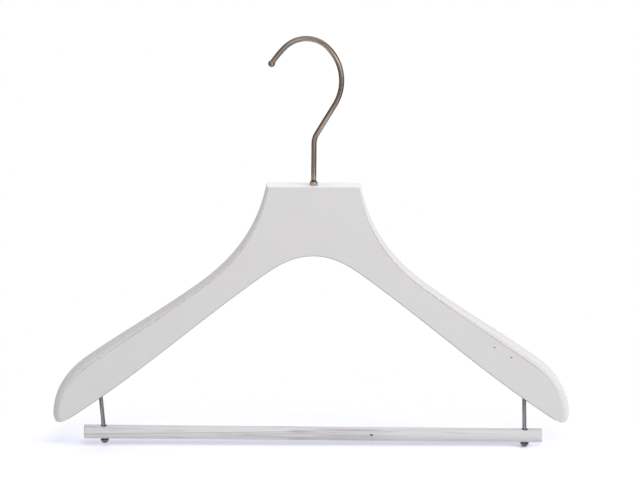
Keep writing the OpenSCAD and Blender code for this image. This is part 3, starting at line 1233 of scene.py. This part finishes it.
@dataclass
class BarPin:
    """A headed pin driven up into the arm."""

    finish: Material
    name: str
    node: str
    top: Pair
    lean: float
    reach: float
    radius: float = 1.8
    head_radius: float = 3.8
    head_height: float = 4.0
    head_band: float = 0.7
    grip: float = 22.0

    def build(self) -> Object:
        """The turned pin.

        Returns:
            The object, riding on the hanger's body in place of the pin.
        """
        r, head, reach, band = self.radius, self.head_radius, self.reach, self.head_band
        dome = self.head_height - band
        dome_r = (head**2 + dome**2) / (2 * dome)
        start = math.degrees(math.acos((dome_r - dome) / dome_r))
        profile = [(0.0, self.grip), (r - 0.2, self.grip), (r, self.grip - 0.3)]
        profile += [(r, self.grip - (self.grip + reach) * i / 40) for i in range(1, 40)]
        profile += [(r, -reach + 0.15), (r + 0.15, -reach), (head - 0.25, -reach)]
        profile += [(head - 0.06, -reach - 0.08), (head, -reach - 0.25), (head, -reach - band)]
        centre = -reach - band + dome_r - dome
        for i in range(1, 16):
            c, s = heading(start * (1 - i / 16))
            profile.append((dome_r * s, centre - dome_r * c))
        profile.append((0.0, centre - dome_r))
        c, s = heading(self.lean)

        def place(u: float, v: float, w: float) -> Vector:
            """Height runs up the leaning pin."""
            return to_row(self.top[0] + c * u - s * w, v, self.top[1] + s * u + c * w)

        obj = turned(self.name, self.finish, profile, place, 48)
        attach(obj, Body.HANGER.value)
        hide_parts(self.node)
        return obj


@dataclass
class TrouserBar:
    """The painted dowel with an oversize hole for each pin."""

    finish: Material
    layout: BarLayout
    ease: float = 0.8
    end_flat: float = 2.5
    hole_radius: float = 2.75
    streak_from: tuple = (90.0, 14.0)
    streak_to: tuple = (330.0, 68.0)
    streak_sway: float = 2.0
    streak_wave: float = 31.0
    sharp_from: float = 50.0

    def place(self, u: float, v: float, w: float) -> Vector:
        """A point of the bar, w along it from its left end, u up and v to the back."""
        return tilted(self.layout.start, self.layout.tilt)(u, v, self.layout.left_end + w)

    def build(self) -> Object:
        """The drilled bar.

        Returns:
            The object, riding on the bar's body.
        """
        length, r, e = self.layout.length, self.layout.bar_radius, self.ease
        profile = [(0.0, 0.0), (self.end_flat, 0.0)]
        profile += [(a, e + b) for a, b in arc(r - e, 0, e, -90, 0, 8)]
        profile += [(r, e + (length - 2 * e) * i / 200) for i in range(1, 200)]
        profile += [(a, length - e + b) for a, b in arc(r - e, 0, e, 0, 90, 8)]
        profile += [(self.end_flat, length), (0.0, length)]
        obj = turned("trouser_bar_skin", self.finish, profile, self.place, 96)
        self.grain(obj.data)
        for i, u in enumerate(self.layout.holes):
            self.drill(obj, u, i)
        obj = baked(obj)
        for cutter in [o for o in bpy.data.objects if o.name.startswith("bar_drill")]:
            bpy.data.objects.remove(cutter)
        obj.data.materials.clear()
        obj.data.materials.append(self.finish)
        obj.data.set_sharp_from_angle(angle=math.radians(self.sharp_from))
        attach(obj, Body.BAR.value)
        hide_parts("trouser_bar")
        return obj

    def grain(self, mesh: Mesh) -> None:
        """Stores the grain's coordinates and the long streak that winds up the bar, painted as a groove's
        shade and highlight.

        Args:
            mesh: the bar's mesh before its holes are cut.
        """
        origin = self.place(0, 0, 0)
        axis = (self.place(0, 0, 1) - origin).normalized()
        up = (self.place(1, 0, 0) - origin).normalized()
        count = len(mesh.vertices)
        values = {n: [0.0] * count for n in PAINT_LAYERS}
        values["arris"], values["veined"] = [FAR] * count, [1.0] * count
        per_degree = math.radians(1) * self.layout.bar_radius
        (w0, a0), (w1, a1) = self.streak_from, self.streak_to
        for i, vert in enumerate(mesh.vertices):
            d = vert.co - origin
            w = d.dot(axis) / MM
            elevation = math.degrees(math.atan2(d.dot(up), -d.y))
            streak = a0 + (a1 - a0) * (w - w0) / (w1 - w0) + self.streak_sway * math.sin(w / self.streak_wave)
            values["along"][i] = w
            values["across"][i] = abs(elevation) * per_degree
            values["streak"][i] = ((elevation - streak + 180) % 360 - 180) * per_degree
        for name, numbers in values.items():
            layer = mesh.attributes.get(name) or mesh.attributes.new(name, "FLOAT", "POINT")
            layer.data.foreach_set("value", numbers)

    def drill(self, obj: Object, u: float, index: int) -> None:
        """Cuts one hole across the bar.

        Args:
            obj: the bar.
            u: the hole's place along the bar from its start point.
            index: which hole.
        """
        reach, r = self.layout.bar_radius * 1.5, self.hole_radius

        def place(a: float, b: float, h: float) -> Vector:
            """Height runs up through the bar."""
            return self.place(h, b, u - self.layout.left_end + a)

        bm = lathe([(0.0, -reach), (r, -reach), (r, reach), (0.0, reach)], place)
        cutter = bpy.data.objects.new(f"bar_drill_{index}", mesh_from(bm, "drill"))
        bpy.context.scene.collection.objects.link(cutter)
        cut = obj.modifiers.new("drill", "BOOLEAN")
        cut.operation, cut.object, cut.solver = "DIFFERENCE", cutter, "EXACT"


def grit_group() -> NodeTree:
    """Geometry nodes that set a small flattened grain on each point.

    Returns:
        The node group, with the grain's size, seed and material as named inputs.
    """
    g, source = object_group("grit", {"Grain": "NodeSocketFloat", "Seed": "NodeSocketInt"})
    given = source.outputs
    grain = g.node("GeometryNodeMeshIcoSphere", None, {"Radius": given["Grain"], "Subdivisions": 3})
    ranges = (((0.0, -0.3, 0.0), (0.0, 0.3, 0.0)), ((0.7, 0.3, 0.6), (1.3, 0.42, 1.1)))
    settings = {"data_type": "FLOAT_VECTOR"}
    turn, size = (
        g.node("FunctionNodeRandomValue", settings, {"Min": low, "Max": high, "Seed": given["Seed"]})
        for low, high in ranges
    )
    spread = {
        "Points": given["Geometry"],
        "Instance": grain.outputs[0],
        "Rotation": turn.outputs[0],
        "Scale": size.outputs[0],
    }
    placed = g.node("GeometryNodeInstanceOnPoints", None, spread)
    return coat(g, placed.outputs[0], given["Finish"])


@dataclass
class PaintGrit:
    """Specks of grit under the paint."""

    finish: Material
    name: str
    body: Body
    spots: Sequence[tuple]
    grain: float
    seed: int = 7

    def build(self) -> Object:
        """The specks as one piece.

        Returns:
            The object, riding on its body.
        """
        mesh = bpy.data.meshes.new(self.name)
        mesh.from_pydata([to_row(*spot) for spot in self.spots], [], [])
        obj = finished(self.name, mesh, self.finish)
        values = {"Grain": self.grain * MM, "Seed": self.seed, "Finish": self.finish}
        obj = grown(obj, grit_group(), values)
        obj.data.shade_smooth()
        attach(obj, self.body.value)
        return obj


@dataclass
class Studio:
    """Camera, white floor and soft light round the hanger."""

    eye: tuple = (-48.94, -2399.35, 531.35)
    aim: tuple = (0.0248, 0.9583, -0.2847)
    roll: float = 0.562
    lens_pixels: float = 2914.47
    image_pixels: int = 640
    sensor: float = 36.0
    far_clip: float = 50.0
    floor_z: float = -363.2
    floor_size: Pair = (0.7, 0.6)
    sky: float = 0.42
    lamps: tuple = (
        ("front_soft", (0.1, -1.4, 1.3), 0.8, 13.0),
        ("right_soft", (2.2, -0.9, 0.55), 0.7, 38.0),
        ("left_soft", (-2.2, -0.9, 0.55), 0.7, 8.0),
    )
    lamp_aim: tuple = (0.0, 0.0, -0.3)
    lamp_colour: tuple = (1.0, 0.995, 0.988)

    def camera(self) -> None:
        """Sets the camera as the photograph was taken."""
        data = bpy.data.cameras.new("camera")
        data.sensor_width = self.sensor
        data.lens = self.lens_pixels / self.image_pixels * self.sensor
        data.clip_end = self.far_clip
        ahead = Vector(self.aim).normalized()
        right = ahead.cross(Vector((0, 0, 1))).normalized()
        up = right.cross(ahead)
        c, s = heading(self.roll)
        right, up = right * c + up * s, up * c - right * s
        obj = bpy.data.objects.new("camera", data)
        turn = Matrix((right, up, -ahead)).transposed().to_4x4()
        obj.matrix_world = Matrix.Translation(Vector(self.eye) * MM) @ turn
        bpy.context.scene.collection.objects.link(obj)
        bpy.context.scene.camera = obj

    def world(self) -> None:
        """White to the camera, softer to the object, and in strips to its highlights."""
        world = bpy.data.worlds.new("studio")
        world.use_nodes = True
        bpy.context.scene.world = world
        g = Graph(world.node_tree)
        x, y, z = g.axes("Generated")
        front = ((0.0 - y) * 0.5 + 0.5).clamped()
        back = (y * 0.5 + 0.5).clamped()
        light = 0.66 + front * 0.19 + back**2.0 * 0.9 + z.clamped() * 0.9
        light = light + (0.0 - z).clamped() * 2.5 + x * 0.25
        right_strip = (x * 0.64 - y * 0.77).clamped() ** 16.0
        left_strip = (x * -0.77 - y * 0.64).clamped() ** 16.0
        shine = 0.05 + front**6.0 * 0.75 + back**5.0 * 0.9 + z.ramp(0.35, 0.9) * 0.8
        shine = shine + right_strip * 2.3 + left_strip * 0.9
        path = g.node("ShaderNodeLightPath")
        lit = self.glow(g, (1.0, 1.0, 1.0), light * self.sky)
        for ray, colour, strength in (
            ("Is Glossy Ray", (1.0, 0.99, 0.97), shine),
            ("Is Camera Ray", (1.0, 1.0, 1.0), 1.0),
        ):
            shaders = {0: g.sock(path, ray), 1: lit, 2: self.glow(g, colour, strength)}
            lit = g.sock(g.node("ShaderNodeMixShader", None, shaders))
        g.node("ShaderNodeOutputWorld", None, {"Surface": lit})

    def glow(self, g: Graph, colour: tuple, strength: Value) -> Sock:
        """A background shader of a colour and strength."""
        return g.sock(g.node("ShaderNodeBackground", None, {"Color": rgba(colour), "Strength": strength}))

    def floor(self) -> Object:
        """A white floor that fades out round the object.

        Returns:
            The floor, which isn't part of the object.
        """
        material, g = new_material("floor_white")
        x, y, _ = g.axes("Object")
        far = ((x / 0.55) ** 2.0 + ((y + 0.14) / 0.26) ** 2.0) ** 0.5
        fade = 1.0 - far.ramp(0.62, 0.98)
        inputs = {
            # Painted light: the blue base colour turns the floor's shadows blue while the lit floor clips to
            # white, and the faint glow lifts those shadows
            "Base Color": (0.85, 0.86, 1.0, 1.0),
            "Roughness": 0.9,
            "Specular IOR Level": 0.1,
            "Emission Color": (0.98, 0.98, 1.0, 1.0),
            "Emission Strength": 0.13,
            "Alpha": fade,
        }
        surface(g, inputs)
        mesh = bpy.data.meshes.new("floor")
        (a, b), z = self.floor_size, self.floor_z * MM
        mesh.from_pydata([(-a, -b, z), (a, -b, z), (a, b, z), (-a, b, z)], [], [(0, 1, 2, 3)])
        obj = finished("floor", mesh, material)
        obj.visible_diffuse = False
        return obj

    def lamp(self, name: str, place: tuple, size: float, power: float) -> None:
        """Hangs one square area lamp.

        Args:
            name: the lamp's name.
            place: where it hangs, in metres.
            size: its side in metres.
            power: its power in watts.
        """
        data = bpy.data.lights.new(name, "AREA")
        data.size, data.energy, data.color = size, power, self.lamp_colour
        obj = bpy.data.objects.new(name, data)
        obj.location = place
        ahead = Vector(self.lamp_aim) - Vector(place)
        obj.rotation_euler = ahead.to_track_quat("-Z", "Y").to_euler()
        obj.visible_glossy = False
        bpy.context.scene.collection.objects.link(obj)

    def build(self) -> None:
        """Sets up everything but the hanger."""
        self.camera()
        self.world()
        self.floor()
        for lamp in self.lamps:
            self.lamp(*lamp)
        bpy.context.scene.view_settings.view_transform = "Standard"


def main() -> None:
    """Builds every piece in order and reports it."""
    logging.basicConfig(level=logging.INFO, format="%(name)s: %(message)s")
    layout = BarLayout()
    paint = PaintFinish().material()
    # Puts the ring of painted shade on the hook's wire just above the collar
    collar_shade_ring = {"collar_shade_at": 27.0}
    polished = {"roughness": 0.17, "patch_share": 0.2}
    metals = (
        ("antique_brass", (0.315, 0.248, 0.212), (0.06, 0.045, 0.042), (0.66, 0.57, 0.47), collar_shade_ring),
        # A lighter, smoother brass for the collar: partly its polished finish, partly a painted highlight
        ("turned_brass", (0.46, 0.40, 0.32), (0.07, 0.055, 0.05), (0.74, 0.68, 0.58), polished),
        ("dark_steel", (0.19, 0.17, 0.165), (0.03, 0.027, 0.03), (0.44, 0.40, 0.36), {"roughness": 0.22}),
    )
    brass, highlit_ferrule_brass, steel = (MetalFinish(*fixed, **named).material() for *fixed, named in metals)
    grit = SpeckFinish().material()
    Studio().build()
    pieces = [WoodenBody(paint), HookWire(brass), TipBall(brass), Ferrule(highlit_ferrule_brass)]
    for side, top, lean, reach in zip(("left", "right"), layout.tops, layout.leans, layout.reaches):
        pieces.append(BarPin(steel, f"{side}_pin_skin", f"{side}_bar_pin", top, lean, reach))
    pieces.append(TrouserBar(paint, layout))
    body_spots = [(157.8, -7.9, -143.5), (172.8, -7.9, -152.6)]
    pieces.append(PaintGrit(grit, "body_grit", Body.HANGER, body_spots, grain=0.8))
    pieces.append(PaintGrit(grit, "body_fine_grit", Body.HANGER, [(-77.7, -7.9, -100.4)], grain=0.35, seed=5))
    pieces.append(PaintGrit(grit, "bar_grit", Body.BAR, [(52.4, -5.9, -225.0)], grain=1.2, seed=3))
    for piece in pieces:
        obj = piece.build()
        LOG.info("%s: %d faces", obj.name, len(obj.data.polygons))


if __name__ == "__main__":
    main()
